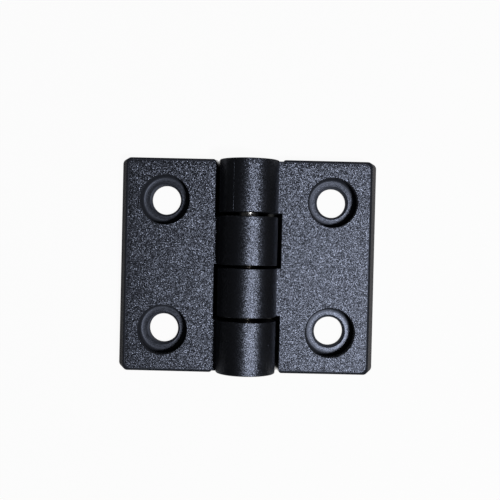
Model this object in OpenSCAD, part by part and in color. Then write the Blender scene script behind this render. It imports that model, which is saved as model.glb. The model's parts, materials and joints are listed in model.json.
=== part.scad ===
// Flat butt hinge of moulded plastic. Two equal leaves, one turned half round against the other,
// share a barrel of interleaved knuckles on one steel pin. The hinge lies open on its back:
// X runs across both leaves, Y along the pin, Z up to the front faces. Sizes are millimetres.

/* [Leaves] */
// Length of a leaf, along the pin
leaf_len = 50.7; // [48:0.1:70]
// Thickness of a leaf
leaf_t = 6; // [5.5:0.1:6.8]
// From the screw holes to the outer edge of the front face
outer_margin = 9.3; // [8.5:0.1:16]
// How far the outer side leans out from front face to back
side_lean = 1.55; // [0.5:0.05:3]
// Upright foot of the outer side, above the back
side_foot = 0.5; // [0.2:0.1:1.5]
// Radius of a leaf's outer corners, seen from the front
corner_r = 1.2; // [0.8:0.1:3]
// Radius of a leaf's corner beside the other leaf's end knuckle
inner_corner_r = 0.7; // [0.5:0.1:1.5]
// Rounding of the edges round the front face
edge_r = 0.4; // [0.1:0.05:0.6]
// Rounding of a leaf's edges beside the other leaf's knuckles
pocket_edge_r = 0.15; // [0.05:0.05:0.4]

/* [Barrel] */
// Diameter of the knuckles
barrel_d = 14; // [13.5:0.5:18]
// Number of knuckles, half of them on each leaf
knuckle_count = 4; // [2:2:6]
// How much longer an end knuckle is than a middle one
end_knuckle_extra = 1; // [0:0.1:3]
// Gap between one knuckle and the next
knuckle_gap = 0.8; // [0.3:0.1:1.5]
// Gap between a knuckle and the edge of the other leaf's flat
pocket_gap = 0.95; // [0.6:0.05:2]
// How far the barrel's ends lie inside the leaves' ends
barrel_inset = 0.35; // [0.05:0.05:1]
// How far the barrel stays off the face that the hinge is screwed to
barrel_lift = 0.1; // [0.05:0.05:0.5]
// Rounding of a knuckle's ends
knuckle_edge_r = 0.2; // [0.1:0.05:0.6]
// Fillet between a knuckle and the front face of its leaf
root_fillet_r = 0.2; // [0.1:0.1:0.8]
// How far each leaf lies off the middle in its end play: the right one to +Y, the left one to -Y
end_slide = 0.06; // [-0.2:0.02:0.2]

/* [Pin] */
// Diameter of the pin
pin_d = 5; // [3:0.5:6]
// Running clearance round the pin, on the radius
pin_play = 0.05; // [0.02:0.01:0.1]
// How far the pin's ends lie inside the barrel's ends
pin_inset = 0.5; // [0.2:0.1:2]
// Chamfer on the pin's ends
pin_chamfer = 0.4; // [0.2:0.1:1]
// Lead-in chamfer at the mouths of the bore
bore_chamfer = 0.4; // [0.2:0.1:0.8]
// Length of the knurled band that holds the pin in one end knuckle
knurl_len = 8; // [4:0.5:10]
// Number of ridges round the knurled band
knurl_count = 24; // [16:1:36]
// How far the ridges bite into the wall of the bore
knurl_bite = 0.07; // [0.03:0.01:0.12]

/* [Screw holes] */
// Spacing of the screw holes across the hinge
hole_across = 40; // [38:0.5:60]
// Spacing of the two screw holes of a leaf, along the pin
hole_along = 31; // [26:0.5:33]
// Diameter of a screw hole
hole_d = 7; // [4.5:0.1:8]
// Diameter of the recess for a screw head
seat_d = 11.8; // [10:0.1:12.5]
// Depth of the recess for a screw head
seat_depth = 3.8; // [2:0.1:4.2]
// Angle by which the floor of the recess falls from the screw hole to the wall
floor_fall = 2; // [0:0.5:5]
// Fillet between the floor and the wall of the recess
foot_r = 0.8; // [0.2:0.1:1]
// Chamfer between the floor of the recess and the screw hole
hole_chamfer = 0.5; // [0.1:0.1:1]
// Rounding of the rim of the recess
rim_r = 0.15; // [0.05:0.05:0.5]

/* [Hollows in the back] */
// Thickness of the front skin over a hollow
skin_t = 2.5; // [1.5:0.1:3.5]
// Thickness of the walls round the hollows
wall_t = 2.4; // [1.5:0.1:3]
// Thickness of the rib between the two hollows of a leaf
rib_t = 2; // [1.2:0.1:4]
// Wall of the boss round a screw head recess
boss_wall = 2; // [1:0.1:2.5]
// Radius of the corners of a hollow
hollow_corner_r = 1; // [0.5:0.1:2]

/* [Hidden] */
$fn = 72;

// Margin by which a cutting shape runs past the face it opens
cut = 1;
barrel_r = barrel_d / 2;
pin_r = pin_d / 2;
bore_r = pin_r + pin_play;
hole_r = hole_d / 2;
seat_r = seat_d / 2;
// Height of the pin's axis above the back
pin_z = barrel_r + barrel_lift;
// Distance of the screw holes from the pin's axis
hole_x = hole_across / 2;
// Reach of the front face, and of the back, from the pin's axis
front_reach = hole_x + outer_margin;
back_reach = front_reach + side_lean;
// Inner edge of a leaf's flat, which leaves room for the other leaf's knuckles
pocket_x = barrel_r + pocket_gap;
barrel_len = leaf_len - 2 * barrel_inset;
mid_knuckle_len = (barrel_len - (knuckle_count - 1) * knuckle_gap - 2 * end_knuckle_extra) / knuckle_count;
pin_len = barrel_len - 2 * pin_inset;
boss_r = seat_r + boss_wall;
plastic_black = "#26282c";
steel_grey = "#c8cacc";

// Knuckles are counted from the -Y end. The right leaf has the odd ones, the left leaf the even ones.
function is_end(i) = i == 0 || i == knuckle_count - 1;
function knuckle_len(i) = mid_knuckle_len + (is_end(i) ? end_knuckle_extra : 0);
function knuckle_start(i) =
    -barrel_len / 2 + i * (mid_knuckle_len + knuckle_gap) + (i > 0 ? end_knuckle_extra : 0);

// Turns a shape drawn along Z so that it runs along the pin, from y = y0
module along_pin(y0) {
    translate([0, y0, pin_z])
        rotate([-90, 0, 0])
            children();
}

// Upright post whose top edge is rounded
module rounded_post(r, h, edge) {
    rotate_extrude()
        intersection() {
            square([r, h]);
            union() {
                polygon([[0, 0], [r, 0], [r, h - edge], [r - edge, h], [0, h]]);
                translate([r - edge, h - edge])
                    circle(edge);
            }
        }
}

// Flat of a leaf, outside the barrel: rounded corners and front edges, and an outer side that leans out
module plate() {
    inner_y = leaf_len / 2 - inner_corner_r;
    outer_y = leaf_len / 2 - corner_r;
    hull() {
        $fn = 32;
        for (end = [-1, 1]) {
            translate([pocket_x + inner_corner_r, end * inner_y, 0])
                rounded_post(inner_corner_r, leaf_t, pocket_edge_r);
            translate([front_reach - corner_r, end * outer_y, side_foot])
                rounded_post(corner_r, leaf_t - side_foot, edge_r);
            translate([back_reach - corner_r, end * outer_y, 0])
                cylinder(r = corner_r, h = side_foot);
        }
    }
}

// Screw hole with a round recess for the screw's head, whose floor falls a little towards its wall
module screw_seat() {
    brow_r = hole_r + hole_chamfer;
    floor_z = leaf_t - seat_depth;
    foot_x = seat_r - foot_r;
    foot_z = floor_z - tan(floor_fall) * (foot_x - brow_r);
    translate([0, 0, -cut])
        cylinder(r = hole_r, h = leaf_t);
    rotate_extrude() {
        polygon([[0, floor_z - hole_chamfer], [hole_r, floor_z - hole_chamfer], [brow_r, floor_z],
            [foot_x, foot_z], [seat_r, foot_z + foot_r], [seat_r, leaf_t + cut], [0, leaf_t + cut]]);
        translate([foot_x, foot_z + foot_r])
            circle(foot_r);
        difference() {
            translate([seat_r - rim_r, leaf_t - rim_r])
                square([2 * rim_r, 2 * rim_r]);
            translate([seat_r + rim_r, leaf_t - rim_r])
                circle(rim_r);
        }
    }
}

// Rectangle with rounded corners, from one corner at the origin
module rounded_rectangle(size, r) {
    translate([r, 0])
        square([size[0] - 2 * r, size[1]]);
    translate([0, r])
        square([size[0], size[1] - 2 * r]);
    for (x = [r, size[0] - r], y = [r, size[1] - r])
        translate([x, y])
            circle(r);
}

// Hollow in the back between the middle rib and the boss of one screw hole, for even wall thickness
module back_hollow() {
    low = [pocket_x + wall_t, rib_t / 2];
    high = [front_reach - wall_t, hole_along / 2 - seat_r];
    translate([0, 0, -cut])
        linear_extrude(leaf_t - skin_t + cut)
            difference() {
                translate(low)
                    rounded_rectangle(high - low, hollow_corner_r);
                translate([hole_x, hole_along / 2])
                    circle(boss_r);
            }
}

// One knuckle of the barrel, with rounded ends
module knuckle(i) {
    long = knuckle_len(i);
    edge = knuckle_edge_r;
    along_pin(knuckle_start(i))
        rotate_extrude() {
            polygon([[0, 0], [barrel_r - edge, 0], [barrel_r, edge],
                [barrel_r, long - edge], [barrel_r - edge, long], [0, long]]);
            for (z = [edge, long - edge])
                translate([barrel_r - edge, z])
                    circle(edge);
        }
}

// Root that joins one knuckle to its leaf, under the barrel's side: as thick as the leaf
module knuckle_root(i) {
    long = knuckle_len(i);
    translate([0, knuckle_start(i), 0])
        rotate([90, 0, 90])
            linear_extrude(pocket_x + inner_corner_r) {
                polygon([[0, 0], [long, 0], [long, leaf_t - pocket_edge_r],
                    [long - pocket_edge_r, leaf_t], [pocket_edge_r, leaf_t], [0, leaf_t - pocket_edge_r]]);
                for (y = [pocket_edge_r, long - pocket_edge_r])
                    translate([y, leaf_t - pocket_edge_r])
                        circle(pocket_edge_r);
            }
}

// Fillet in the corner between a knuckle and the front face of its leaf
module root_fillet(i) {
    // Centre of the fillet's arc, which touches the front face and the knuckle
    rise = leaf_t + root_fillet_r - pin_z;
    centre_x = sqrt(pow(barrel_r + root_fillet_r, 2) - rise * rise);
    touch = barrel_r / (barrel_r + root_fillet_r);
    long = knuckle_len(i) - 2 * knuckle_edge_r;
    along_pin(knuckle_start(i) + knuckle_edge_r)
        mirror([0, 1, 0])
            linear_extrude(long)
                difference() {
                    polygon([[centre_x, leaf_t - pin_z], [centre_x, rise],
                        [touch * centre_x, touch * rise], [barrel_r / 2, leaf_t - pin_z]]);
                    translate([centre_x, rise])
                        circle(root_fillet_r);
                }
}

// Bore for the pin through the whole barrel, with a lead-in at both mouths
module pin_bore() {
    mouth = bore_chamfer + cut;
    along_pin(-barrel_len / 2 - cut)
        cylinder(r = bore_r, h = barrel_len + 2 * cut);
    for (end = [0, 1])
        mirror([0, end, 0])
            along_pin(-barrel_len / 2 - cut)
                cylinder(r1 = bore_r + mouth, r2 = bore_r, h = mouth);
}

// One leaf moulding, on the +X side, before it takes up its end play
module leaf() {
    difference() {
        union() {
            difference() {
                plate();
                for (side = [0, 1])
                    mirror([0, side, 0])
                        back_hollow();
            }
            for (i = [1:2:knuckle_count - 1]) {
                knuckle(i);
                knuckle_root(i);
                root_fillet(i);
            }
        }
        pin_bore();
        for (end = [-1, 1])
            translate([hole_x, end * hole_along / 2, 0])
                screw_seat();
    }
}

module right_leaf() {
    color(plastic_black)
        translate([0, end_slide, 0])
            leaf();
}

module left_leaf() {
    color(plastic_black)
        rotate([0, 0, 180])
            translate([0, end_slide, 0])
                leaf();
}

// Section of the knurled band: the pin's round with a ridge for every step round it
module knurl_profile() {
    crest_r = bore_r + knurl_bite;
    step = 180 / knurl_count;
    circle(pin_r);
    polygon([for (k = [0:2 * knurl_count - 1])
        (k % 2 == 0 ? crest_r : pin_r - pin_play) * [cos(k * step), sin(k * step)]]);
}

// Steel pin with chamfered ends, held by its knurled band in the left leaf's end knuckle
module hinge_pin() {
    low_y = -pin_len / 2 - end_slide;
    knurl_y = knuckle_start(0) + (knuckle_len(0) - knurl_len) / 2 - end_slide;
    color(steel_grey) {
        along_pin(low_y)
            rotate_extrude()
                polygon([[0, 0], [pin_r - pin_chamfer, 0], [pin_r, pin_chamfer],
                    [pin_r, pin_len - pin_chamfer], [pin_r - pin_chamfer, pin_len], [0, pin_len]]);
        along_pin(knurl_y)
            linear_extrude(knurl_len)
                knurl_profile();
    }
}

left_leaf();
right_leaf();
hinge_pin();
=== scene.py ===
"""Flat butt hinge of moulded plastic: finishes, small marks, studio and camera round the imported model."""
import json
import math

import bpy
import numpy as np
from mathutils import Matrix, Vector

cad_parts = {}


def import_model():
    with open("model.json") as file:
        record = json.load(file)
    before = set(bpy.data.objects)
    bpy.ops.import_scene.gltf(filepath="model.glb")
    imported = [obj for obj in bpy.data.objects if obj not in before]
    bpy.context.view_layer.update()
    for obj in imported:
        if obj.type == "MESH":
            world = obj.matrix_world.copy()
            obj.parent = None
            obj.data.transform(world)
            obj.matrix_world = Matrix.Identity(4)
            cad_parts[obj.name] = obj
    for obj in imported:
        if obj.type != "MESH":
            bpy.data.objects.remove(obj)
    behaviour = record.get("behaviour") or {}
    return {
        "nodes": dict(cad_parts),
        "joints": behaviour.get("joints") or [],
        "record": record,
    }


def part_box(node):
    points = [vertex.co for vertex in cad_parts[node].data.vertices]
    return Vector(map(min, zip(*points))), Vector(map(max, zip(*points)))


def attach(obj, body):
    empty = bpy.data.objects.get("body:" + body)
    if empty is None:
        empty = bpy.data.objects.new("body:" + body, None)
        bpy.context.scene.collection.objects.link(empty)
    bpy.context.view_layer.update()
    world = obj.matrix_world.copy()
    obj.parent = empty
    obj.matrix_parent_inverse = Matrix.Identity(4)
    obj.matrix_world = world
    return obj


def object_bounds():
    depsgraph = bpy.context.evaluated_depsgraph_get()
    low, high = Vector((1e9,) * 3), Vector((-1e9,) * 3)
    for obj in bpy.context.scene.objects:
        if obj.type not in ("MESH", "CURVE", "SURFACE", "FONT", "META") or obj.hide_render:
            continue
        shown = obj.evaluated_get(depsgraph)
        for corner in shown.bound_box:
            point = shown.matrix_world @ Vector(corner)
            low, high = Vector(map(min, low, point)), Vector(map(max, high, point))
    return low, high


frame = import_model()
cad_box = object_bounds()

MM = 0.001
WHITE = (1.0, 1.0, 1.0, 1.0)
BLACK = (0.0, 0.0, 0.0, 1.0)

# ---------------------------------------------------------------- places, from the frame

mounts = {mount["name"]: mount for mount in frame["record"]["mounts"]}
pin_height = frame["joints"][0]["pos_m"][2]
back_z = cad_box[0][2]
barrel_r = cad_box[1][2] - pin_height
# Height of the leaves' front faces
flat_z = 6.0 * MM
# Where the joint of the mould runs along the barrel
witness_x = -3.5 * MM


def mesh_points(node):
    """Points of a node's mesh, one row each."""
    vertices = frame["nodes"][node].data.vertices
    points = np.empty(3 * len(vertices))
    vertices.foreach_get("co", points)
    return points.reshape(-1, 3)


def knuckle_ends(node):
    """Lowest and highest y of each knuckle of a leaf, in order along the pin, as pairs.

    Along the crest of a knuckle, the mesh has points only near its two ends. So the crests' points fall
    into groups along y, two for each knuckle.
    """
    crest_depth = 0.2 * MM
    group_gap = 1.0 * MM
    points = mesh_points(node)
    crest = np.sort(points[points[:, 2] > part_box(node)[1][2] - crest_depth, 1])
    steps = np.flatnonzero(np.diff(crest) > group_gap)
    lowest = crest[np.append(0, steps + 1)]
    highest = crest[np.append(steps, len(crest) - 1)]
    return list(zip(lowest[0::2], highest[1::2]))


def flat_face(node):
    """Middle y, largest |x| and half length of a leaf's flat face, up to the rounding of its edges."""
    height_slack = 0.001 * MM
    clear_of_barrel = 2 * barrel_r
    points = mesh_points(node)
    level = np.abs(points[:, 2] - flat_z) < height_slack
    face = points[level & (np.abs(points[:, 0]) > clear_of_barrel)]
    lowest, highest = face[:, 1].min(), face[:, 1].max()
    return (lowest + highest) / 2, np.abs(face[:, 0]).max(), (highest - lowest) / 2


# ---------------------------------------------------------------- node helpers

class Nodes:
    """A material's node tree, with short ways to add and join nodes."""

    def __init__(self, name):
        """Empty material of this name."""
        self.material = bpy.data.materials.new(name)
        self.material.use_nodes = True
        self.tree = self.material.node_tree
        self.tree.nodes.clear()

    def add(self, kind, inputs=None, **settings):
        """New node with its settings, and its inputs joined or set by name."""
        node = self.tree.nodes.new(kind)
        for key, value in settings.items():
            setattr(node, key, value)
        for key, value in (inputs or {}).items():
            self.feed(node.inputs[key], value)
        return node

    def feed(self, socket, value):
        """Joins a socket to another node's output, or sets its plain value."""
        if isinstance(value, bpy.types.NodeSocket):
            self.tree.links.new(value, socket)
        else:
            socket.default_value = value

    def math(self, operation, a, b=0.0):
        """Number from a Math node."""
        node = self.add("ShaderNodeMath", operation=operation)
        for socket, value in zip(node.inputs, (a, b)):
            self.feed(socket, value)
        return node.outputs[0]

    def product(self, first, *others):
        """All the numbers multiplied together."""
        for other in others:
            first = self.math("MULTIPLY", first, other)
        return first

    def one_minus(self, share):
        """1 minus a share."""
        return self.math("SUBTRACT", 1.0, share)

    def vector(self, operation, *values):
        """Vector from a Vector Math node."""
        node = self.add("ShaderNodeVectorMath", operation=operation)
        for socket, value in zip(node.inputs, values):
            self.feed(socket, value)
        return node.outputs[0]

    def split(self, value):
        """The three parts of a vector or colour."""
        return self.add("ShaderNodeSeparateXYZ", {"Vector": value}).outputs

    def vector_length(self, value):
        """Length of a vector."""
        node = self.add("ShaderNodeVectorMath", operation="LENGTH")
        self.feed(node.inputs[0], value)
        return node.outputs["Value"]

    def smooth_step(self, value, low, high):
        """0 below low, 1 above high, and a smooth rise between them."""
        node = self.add("ShaderNodeMapRange", {"Value": value, "From Min": low, "From Max": high},
                        interpolation_type="SMOOTHSTEP")
        return node.outputs["Result"]

    def mix(self, share, low, high):
        """Value that goes from low to high as share goes from 0 to 1."""
        return self.add("ShaderNodeMix", {"Factor": share, "A": low, "B": high}).outputs["Result"]

    def mix_colour(self, share, low, high):
        """Colour that goes from low to high as share goes from 0 to 1."""
        node = self.add("ShaderNodeMix", data_type="RGBA")
        factor, low_colour, high_colour = node.inputs[0], node.inputs[6], node.inputs[7]
        for socket, value in ((factor, share), (low_colour, low), (high_colour, high)):
            self.feed(socket, value)
        return node.outputs[2]

    def scaled(self, value, amount):
        """A vector times a number."""
        node = self.add("ShaderNodeVectorMath", {"Scale": amount}, operation="SCALE")
        self.feed(node.inputs[0], value)
        return node.outputs[0]

    def tilted(self, colours, amount, lean):
        """The surface normal plus lean, tilted by amount times random colours taken from their mid grey."""
        normal = self.vector("ADD", self.add("ShaderNodeNewGeometry").outputs["Normal"], lean)
        sway = self.vector("SUBTRACT", colours, (0.5, 0.5, 0.5))
        return self.vector("NORMALIZE", self.vector("ADD", normal, self.scaled(sway, amount)))

    def output(self, shader):
        """The finished material, with shader as its surface."""
        self.add("ShaderNodeOutputMaterial", {"Surface": shader})
        return self.material


# ---------------------------------------------------------------- finishes

# Spark-eroded grain of the mould: facets about 0.1 mm across, each tilted its own way.
# A finish is how far its facets tilt, and its roughness.
grain_per_metre = 10000.0
flat_finish = (0.47, 0.32)
barrel_finish = (0.38, 0.34)
edge_finish = (0.12, 1.0)
side_finish = (0.30, 0.75)
recess_finish = (0.16, 0.36)
# On the end knuckle of the right leaf, beyond the joint of the mould, the grain is faint
plain_finish = (0.08, 0.33)

# How squarely a surface faces front or back, where a side gives way to an edge, and an edge to a flat
off_side_facing = (0.30, 0.45)
flat_facing = (0.93, 0.985)
# Heights between which the barrel's finish takes over from the leaf's
barrel_start = (flat_z + 0.1 * MM, flat_z + 0.6 * MM)

# Distances from the axis of a screw hole: the end of its chamfer, the stretch over which the floor of its
# recess comes to turn inward, the start of the foot of the wall, and the edge of the recess
chamfer_end = (3.9 * MM, 4.1 * MM)
dish_stretch = (3.9 * MM, 5.2 * MM)
foot_start = (4.6 * MM, 5.0 * MM)
recess_edge = (5.2 * MM, 5.7 * MM)
# How far the chamfer is turned outward, which eases it, and the floor inward, which dishes it
chamfer_ease = 0.38
dish = 0.08
# The chamfer and the round foot of the wall are rougher than the floor between them
chamfer_roughness = 0.62
foot_roughness = 0.52

# Round its outline, a leaf's flat turns down over this border, and the outer part of it is worn.
# The crown is how far it turns down across the leaf and along it.
border = 1.6 * MM
crown = (0.04, 0.10)
worn_stretch = (1.3 * MM, border)

plastic_black = (0.0030, 0.0031, 0.0036, 1.0)
# Warm brown on the leaves' sides: painted reflection of warm brown surroundings
painted_reflection_brown = (0.050, 0.043, 0.034, 1.0)
# Share of the warm brown of painted reflection in a facet of a leaf's side, from the least to the most,
# where 1 and more is all of it
painted_reflection_range = (0.6, 1.4)
# Gloss of all the plastic, which is slightly blue
plastic_gloss = 0.76
gloss_tint = (0.68, 0.76, 1.0, 1.0)


def from_nearer_hole(n, x, y, holes):
    """Vector in the plane of a leaf, from the axis of its nearer screw hole to the point x, y."""
    middle_x, middle_y, _ = holes["pos_m"]
    half_spacing = holes["dims"]["spacing_y_mm"] * MM / 2
    up = n.math("SUBTRACT", y, middle_y)
    nearer_hole = n.product(n.math("SIGN", up), half_spacing)
    return n.add("ShaderNodeCombineXYZ", {
        "X": n.math("SUBTRACT", x, middle_x),
        "Y": n.math("SUBTRACT", up, nearer_hole)}).outputs[0]


def worn_border(n, coords, node):
    """How worn a point of a leaf's flat is, from 0 to 1, and how far the surface turns down there.

    Both grow with how far the point lies out in the border, along x and along y.
    """
    middle_y, half_x, half_y = flat_face(node)
    from_middle = n.vector("SUBTRACT", coords, (0.0, middle_y, 0.0))
    over = n.vector("SUBTRACT", n.vector("ABSOLUTE", from_middle), (half_x - border, half_y - border, 1.0))
    rim = n.vector("MAXIMUM", over, (0.0, 0.0, 0.0))
    worn = n.smooth_step(n.vector_length(rim), *worn_stretch)
    turned_down = n.vector("MULTIPLY", n.vector("MULTIPLY", rim, n.vector("SIGN", from_middle)),
                           (crown[0] / border, crown[1] / border, 0.0))
    return worn, turned_down


def past_mould_joint(n, x, y, lowest_y):
    """1 where an end knuckle, from lowest_y up, lies beyond the joint of the mould, and 0 elsewhere."""
    blur = 0.05 * MM
    in_gap = (lowest_y - 0.4 * MM, lowest_y - 0.3 * MM)
    beyond = n.smooth_step(n.product(x, -1.0), -witness_x - blur, -witness_x + blur)
    return n.product(beyond, n.smooth_step(y, *in_gap))


def black_polyamide(name, node, holes, plain_from=None):
    """Glass-filled polyamide: spark-textured faces, smoother worn edges, sides painted a warm brown that is
    a painted reflection, and smooth recesses.

    The edges and sides are where the surface turns away from the flat of the leaf, below the barrel.
    The recesses are where the distance from the nearer screw hole's axis is under recess_edge. The barrel
    is plain past plain_from, a lowest y, on the side of the mould's joint that faces away from the leaf.
    """
    n = Nodes(name)
    texture = n.add("ShaderNodeTexCoord").outputs
    coords = texture["Object"]
    x, y, z = n.split(coords)
    facing = n.math("ABSOLUTE", n.split(texture["Normal"])["Z"])
    off_side = n.smooth_step(facing, *off_side_facing)
    barrel = n.smooth_step(z, *barrel_start)
    plain = 0.0 if plain_from is None else past_mould_joint(n, x, y, plain_from)

    outward = from_nearer_hole(n, x, y, holes)
    radius = n.vector_length(outward)
    past_recess = n.smooth_step(radius, *recess_edge)
    past_chamfer = n.smooth_step(radius, *chamfer_end)
    eased = n.product(off_side, n.one_minus(past_chamfer), chamfer_ease)
    dished = n.product(n.smooth_step(radius, *dish_stretch), n.one_minus(past_recess), dish)
    recess_lean = n.scaled(n.vector("NORMALIZE", outward), n.math("SUBTRACT", eased, dished))
    floor_roughness = n.mix(n.smooth_step(radius, *foot_start), recess_finish[1], foot_roughness)
    recess_roughness = n.mix(past_chamfer, chamfer_roughness, floor_roughness)

    worn, turned_down = worn_border(n, coords, node)
    flat = n.product(n.smooth_step(facing, *flat_facing), n.one_minus(worn))

    def finish(part, in_recess):
        """Tilt or roughness over the whole leaf, as part is 0 or 1."""
        on_barrel = n.mix(plain, barrel_finish[part], plain_finish[part])
        on_leaf = n.mix(off_side, side_finish[part], n.mix(flat, edge_finish[part], flat_finish[part]))
        return n.mix(past_recess, in_recess, n.mix(barrel, on_leaf, on_barrel))

    facets = n.add("ShaderNodeTexVoronoi", {"Vector": coords, "Scale": grain_per_metre}).outputs["Color"]
    # Warm brown on the sides, varying from facet to facet: painted reflection
    painted_reflection_share = n.product(worn, n.one_minus(off_side), n.mix(n.split(facets)["X"], *painted_reflection_range))
    lean = n.vector("ADD", recess_lean, n.scaled(turned_down, n.product(flat, past_recess)))
    shader = n.add("ShaderNodeBsdfPrincipled", {
        "Base Color": n.mix_colour(painted_reflection_share, plastic_black, painted_reflection_brown),
        "Roughness": finish(1, recess_roughness),
        "Normal": n.tilted(facets, finish(0, recess_finish[0]), lean),
        "Specular IOR Level": plastic_gloss,
        "Specular Tint": gloss_tint})
    return n.output(shader.outputs[0])


bright_steel = (0.62, 0.61, 0.60, 1.0)
# Dark steel colour: painted shade on the pin where it lies in the two lower gaps between knuckles
painted_shade_steel = (0.10, 0.09, 0.08, 1.0)
# Roughness in and between the scratches of the bare steel, and over the stretch painted dark as painted
# shade
steel_roughness = (0.16, 0.36)
painted_shade_roughness = 0.45
# Scratches per metre across the pin, along it and across it
scratches = (9000.0, 300.0, 9000.0)
# The part of the pin's length that is painted dark and rougher as painted shade, and how far its ends fade
painted_shade_stretch = (-16.0 * MM, 9.0 * MM)
painted_shade_fade = 1.0 * MM


def stainless_steel(name):
    """Drawn steel with fine scratches along it, painted dark and rougher over part of its length as painted
    shade, which hides the pin's glints in the two lower gaps between knuckles.
    """
    n = Nodes(name)
    coords = n.add("ShaderNodeTexCoord").outputs["Object"]
    middle, half = sum(painted_shade_stretch) / 2, (painted_shade_stretch[1] - painted_shade_stretch[0]) / 2
    from_middle = n.math("ABSOLUTE", n.math("SUBTRACT", n.split(coords)["Y"], middle))
    past_painted_shade = n.smooth_step(from_middle, half - painted_shade_fade, half)
    stretched = n.add("ShaderNodeMapping", {"Vector": coords, "Scale": scratches}).outputs[0]
    lines = n.add("ShaderNodeTexNoise", {"Vector": stretched, "Scale": 1.0, "Detail": 2.0}).outputs["Fac"]
    # Dark over the shaded stretch of the pin: painted shade
    shader = n.add("ShaderNodeBsdfPrincipled", {
        "Base Color": n.mix_colour(past_painted_shade, painted_shade_steel, bright_steel),
        "Metallic": 1.0,
        "Roughness": n.mix(past_painted_shade, painted_shade_roughness, n.mix(lines, *steel_roughness))})
    return n.output(shader.outputs[0])


def assign(node, material):
    """Gives a CAD node's slots a material."""
    for slot in frame["nodes"][node].material_slots:
        slot.material = material


end_knuckle = knuckle_ends("right_leaf")[-1]
left_plastic = black_polyamide("left leaf polyamide", "left_leaf", mounts["left_screw_holes"])
right_plastic = black_polyamide("right leaf polyamide", "right_leaf", mounts["right_screw_holes"],
                                plain_from=end_knuckle[0])
assign("left_leaf", left_plastic)
assign("right_leaf", right_plastic)
assign("hinge_pin", stainless_steel("pin steel"))


# ---------------------------------------------------------------- small marks

def bead(name, angle, y_range, radius, material):
    """Fine closed bead along the barrel, half sunk in it, at an angle from the barrel's crest.

    Its section is a circle whose radius is radius(s), for s from 0 to 1 along y_range. Over a twelfth of
    its length at either end, that radius shrinks evenly to a point.
    """
    stations, sides = 96, 10
    tapers = 12
    s = np.linspace(0.0, 1.0, stations + 2)[1:-1, None]
    turn = np.linspace(0.0, 2 * math.pi, sides, endpoint=False)[None, :]
    outward = np.array([math.sin(angle), 0.0, math.cos(angle)])
    sideways = np.array([math.cos(angle), 0.0, -math.sin(angle)])
    middle = np.array([0.0, 0.0, pin_height]) + barrel_r * outward
    size = (radius(s) * np.clip(tapers * np.minimum(s, 1 - s), 0.0, 1.0))[..., None]
    rings = middle + size * (np.cos(turn)[..., None] * sideways + np.sin(turn)[..., None] * outward)
    rings[..., 1] += y_range[0] + (y_range[1] - y_range[0]) * s
    tips = [middle + [0.0, y, 0.0] for y in y_range]
    points = np.vstack([rings.reshape(-1, 3), tips])
    index = np.arange(stations * sides).reshape(stations, sides)
    after = np.roll(index, -1, axis=1)
    walls = np.stack([index[:-1], index[1:], after[1:], after[:-1]], axis=-1).reshape(-1, 4)
    first, last = stations * sides, stations * sides + 1
    caps = [(first, a, b) for a, b in zip(index[0].tolist(), after[0].tolist())]
    caps += [(last, b, a) for a, b in zip(index[-1].tolist(), after[-1].tolist())]
    mesh = bpy.data.meshes.new(name)
    mesh.from_pydata(points.tolist(), [], walls.tolist() + caps)
    mesh.materials.append(material)
    obj = bpy.data.objects.new(name, mesh)
    bpy.context.scene.collection.objects.link(obj)
    return obj


# Where the plastic has no grain, its roughness varies slowly between these, in waves of about 0.4 mm
bare_roughness = (0.25, 0.50)
waves_per_metre = 2500.0


def bare_polyamide(name):
    """The same polyamide without grain, as on the flash of a mould joint or the lip of a nick."""
    n = Nodes(name)
    coords = n.add("ShaderNodeTexCoord").outputs["Object"]
    noise = n.add("ShaderNodeTexNoise", {"Vector": coords, "Scale": waves_per_metre, "Detail": 1.0})
    shader = n.add("ShaderNodeBsdfPrincipled", {
        "Base Color": plastic_black,
        "Roughness": n.mix(noise.outputs["Fac"], *bare_roughness),
        "Specular IOR Level": plastic_gloss,
        "Specular Tint": gloss_tint})
    return n.output(shader.outputs[0])


def witness_line(material):
    """Flash at the joint of the mould along the right leaf's end knuckle.

    Its radius follows a squared cosine along its length, with two strong stretches and a fine one between,
    times a small ripple.
    """
    thickest = 0.06 * MM
    angle = math.asin(witness_x / barrel_r)
    y_range = (end_knuckle[0] + 0.1 * MM, end_knuckle[1] - 0.3 * MM)

    def radius(s):
        stretch = 0.30 + 0.70 * np.cos(1.3 * math.pi * (s - 0.08)) ** 2
        return thickest * stretch * (0.8 + 0.2 * np.cos(28 * math.pi * s))

    line = bead("right_leaf_witness_line", angle, y_range, radius, material)
    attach(line, "swinging_leaf")


def knuckle_nick(material):
    """Raised lip of a small nick on the left leaf's end knuckle: a short bead, thickest at its middle."""
    thickest = 0.08 * MM
    angle = math.radians(49)
    middle = sum(knuckle_ends("left_leaf")[0]) / 2
    y_range = (middle + 0.6 * MM, middle + 1.2 * MM)

    def radius(s):
        return thickest * np.sin(math.pi * s)

    nick = bead("left_leaf_nick", angle, y_range, radius, material)
    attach(nick, "fixed_leaf")


bare_plastic = bare_polyamide("bare polyamide")
witness_line(bare_plastic)
knuckle_nick(bare_plastic)


# ---------------------------------------------------------------- studio

# Half the side of the floor, and how far it lies below the hinge
floor_half = 4.0
floor_drop = 0.02 * MM
# How pale the floor is, and how much of it is lifted to white for the camera
floor_pale = 0.50
floor_lift = 0.95
# Over these distances from the hinge, the floor comes to show white in its gloss
white_in_gloss = (50 * MM, 80 * MM)

# The strip of floor under the barrel, painted dark as painted shade: how pale it is, and where its sides
# and its ends fade
painted_shade_under_barrel = 0.03
strip_side = (barrel_r + 1.2 * MM, barrel_r + 1.7 * MM)
strip_end = (cad_box[1][1] - 0.25 * MM, cad_box[1][1] - 0.05 * MM)
# Both ends of the strip have two notches
notch_x = barrel_r + 0.65 * MM
notch_depth = 0.35 * MM
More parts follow.
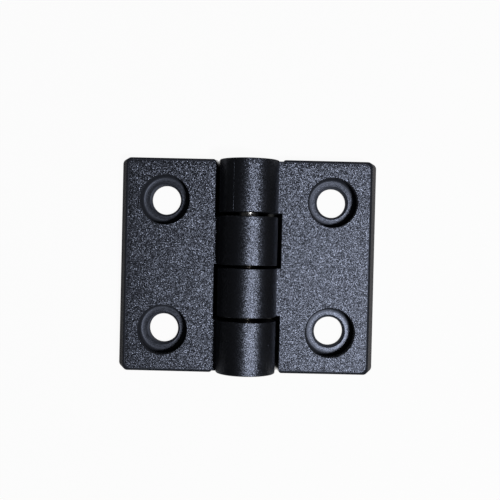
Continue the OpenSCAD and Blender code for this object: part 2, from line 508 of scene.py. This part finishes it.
# How open the floor is, from 0 to 1, where the painted shade in the strip ends, and what it is judged by:
# things within this reach, felt for by this many rays
strip_open = (0.40, 0.75)
open_reach = 12 * MM
open_samples = 16

# Distance of the flags from the pin, half their length, and the height of their tops
flag_x = 60 * MM
flag_half = 120 * MM
flag_top = 18 * MM


def plain_mesh(name, corners, material):
    """Flat face through its four corners, which belongs to the stage and not to the hinge."""
    mesh = bpy.data.meshes.new(name)
    mesh.from_pydata(corners, [], [(0, 1, 2, 3)])
    mesh.materials.append(material)
    obj = bpy.data.objects.new(name, mesh)
    bpy.context.scene.collection.objects.link(obj)
    return obj


def floor():
    """Plain pale floor, lifted to white where the camera sees it, and far from the hinge in its gloss.

    In the strip under the barrel, where the hinge closes it in, the floor is painted dark as painted shade
    and is unlifted, so that the gaps round the knuckles stay dark. The two ends of the strip are notched at
    notch_x.
    """
    n = Nodes("pale floor")
    coords = n.add("ShaderNodeTexCoord").outputs["Object"]
    x, y, _ = n.split(coords)
    from_axis = n.math("ABSOLUTE", x)
    notch = n.math("MINIMUM", n.math("ABSOLUTE", n.math("SUBTRACT", from_axis, notch_x)), notch_depth)
    past_end = n.smooth_step(n.math("SUBTRACT", n.math("ABSOLUTE", y), notch), *strip_end)
    beside = n.smooth_step(from_axis, *strip_side)
    sky = n.add("ShaderNodeAmbientOcclusion", {"Distance": open_reach}, samples=open_samples)
    in_open = n.smooth_step(sky.outputs["AO"], *strip_open)
    bare = n.math("MAXIMUM", n.math("MAXIMUM", past_end, beside), in_open)
    # Floor colour dark where the hinge closes it in: painted shade
    paper = n.add("ShaderNodeBsdfDiffuse", {"Color": n.mix(bare, painted_shade_under_barrel, floor_pale)}).outputs[0]
    glow = n.add("ShaderNodeEmission", {"Strength": 1.0}).outputs[0]
    path = n.add("ShaderNodeLightPath").outputs
    seen = n.product(n.math("MAXIMUM", path["Is Camera Ray"], path["Is Transmission Ray"]), bare)
    far_off = n.smooth_step(n.vector_length(coords), *white_in_gloss)
    lift = n.product(n.math("MAXIMUM", seen, n.product(path["Is Glossy Ray"], far_off)), floor_lift)
    shader = n.add("ShaderNodeMixShader", {"Fac": lift})
    n.feed(shader.inputs[1], paper)
    n.feed(shader.inputs[2], glow)
    z = back_z - floor_drop
    corners = [(-floor_half, -floor_half, z), (floor_half, -floor_half, z),
               (floor_half, floor_half, z), (-floor_half, floor_half, z)]
    plain_mesh("floor", corners, n.output(shader.outputs[0]))


def flags():
    """Two low black flags beside the hinge, seen only in its gloss, which keep the barrel's flanks dark."""
    n = Nodes("flag black")
    cloth = n.output(n.add("ShaderNodeBsdfDiffuse", {"Color": BLACK}).outputs[0])
    for name, x in (("left_flag", -flag_x), ("right_flag", flag_x)):
        corners = [(x, -flag_half, back_z), (x, flag_half, back_z),
                   (x, flag_half, flag_top), (x, -flag_half, flag_top)]
        flag = plain_mesh(name, corners, cloth)
        flag.visible_camera = False
        flag.visible_diffuse = False
        flag.visible_shadow = False


def look_rotation(eye, target, up):
    """Rotation that points a camera's or lamp's -Z from eye to target, with its top towards up."""
    back = (eye - target).normalized()
    right = up.cross(back).normalized()
    top = back.cross(right)
    return Matrix((right, top, back)).transposed()


def lamp(name, place, width, irradiance):
    """Round lamp that faces the hinge and gives it this irradiance, in watts per square metre."""
    target = Vector((0.0, 0.0, pin_height))
    light = bpy.data.lights.new(name, "AREA")
    light.shape = "DISK"
    light.size = width
    light.energy = irradiance * math.pi * (place - target).length_squared
    obj = bpy.data.objects.new(name, light)
    obj.matrix_world = Matrix.Translation(place) @ look_rotation(place, target, Vector((0, 1, 0))).to_4x4()
    bpy.context.scene.collection.objects.link(obj)


def camera():
    """Camera 0.2 m over the hinge, a little up the pin from its middle, and slightly rolled."""
    eye = Vector((0.70, 6.19, 201.0)) * MM
    target = Vector((0.54, 3.87, 6.0)) * MM
    roll = math.radians(1.331)
    data = bpy.data.cameras.new("camera")
    data.sensor_width = 36.0
    data.lens = 59.07
    data.clip_start = 0.01
    data.clip_end = 50.0
    obj = bpy.data.objects.new("camera", data)
    up = Vector((-math.sin(roll), math.cos(roll), 0.0))
    obj.matrix_world = Matrix.Translation(eye) @ look_rotation(eye, target, up).to_4x4()
    bpy.context.scene.collection.objects.link(obj)
    bpy.context.scene.camera = obj


def world(level):
    """Even world of this level, which the camera sees as white."""
    light = bpy.data.worlds.new("studio")
    light.use_nodes = True
    tree = light.node_tree
    path = tree.nodes.new("ShaderNodeLightPath").outputs
    seen = tree.nodes.new("ShaderNodeMath")
    seen.operation = "MAXIMUM"
    tree.links.new(path["Is Camera Ray"], seen.inputs[0])
    tree.links.new(path["Is Transmission Ray"], seen.inputs[1])
    strength = tree.nodes.new("ShaderNodeMapRange")
    strength.inputs["To Min"].default_value = level
    strength.inputs["To Max"].default_value = 1.0
    tree.links.new(seen.outputs[0], strength.inputs["Value"])
    background = tree.nodes["Background"]
    background.inputs["Color"].default_value = WHITE
    tree.links.new(strength.outputs["Result"], background.inputs["Strength"])
    bpy.context.scene.world = light


floor()
flags()
lamp("key", Vector((140, -75, 400)) * MM, width=60 * MM, irradiance=3.03)
world(level=0.035)
camera()
bpy.context.scene.view_settings.view_transform = "Standard"
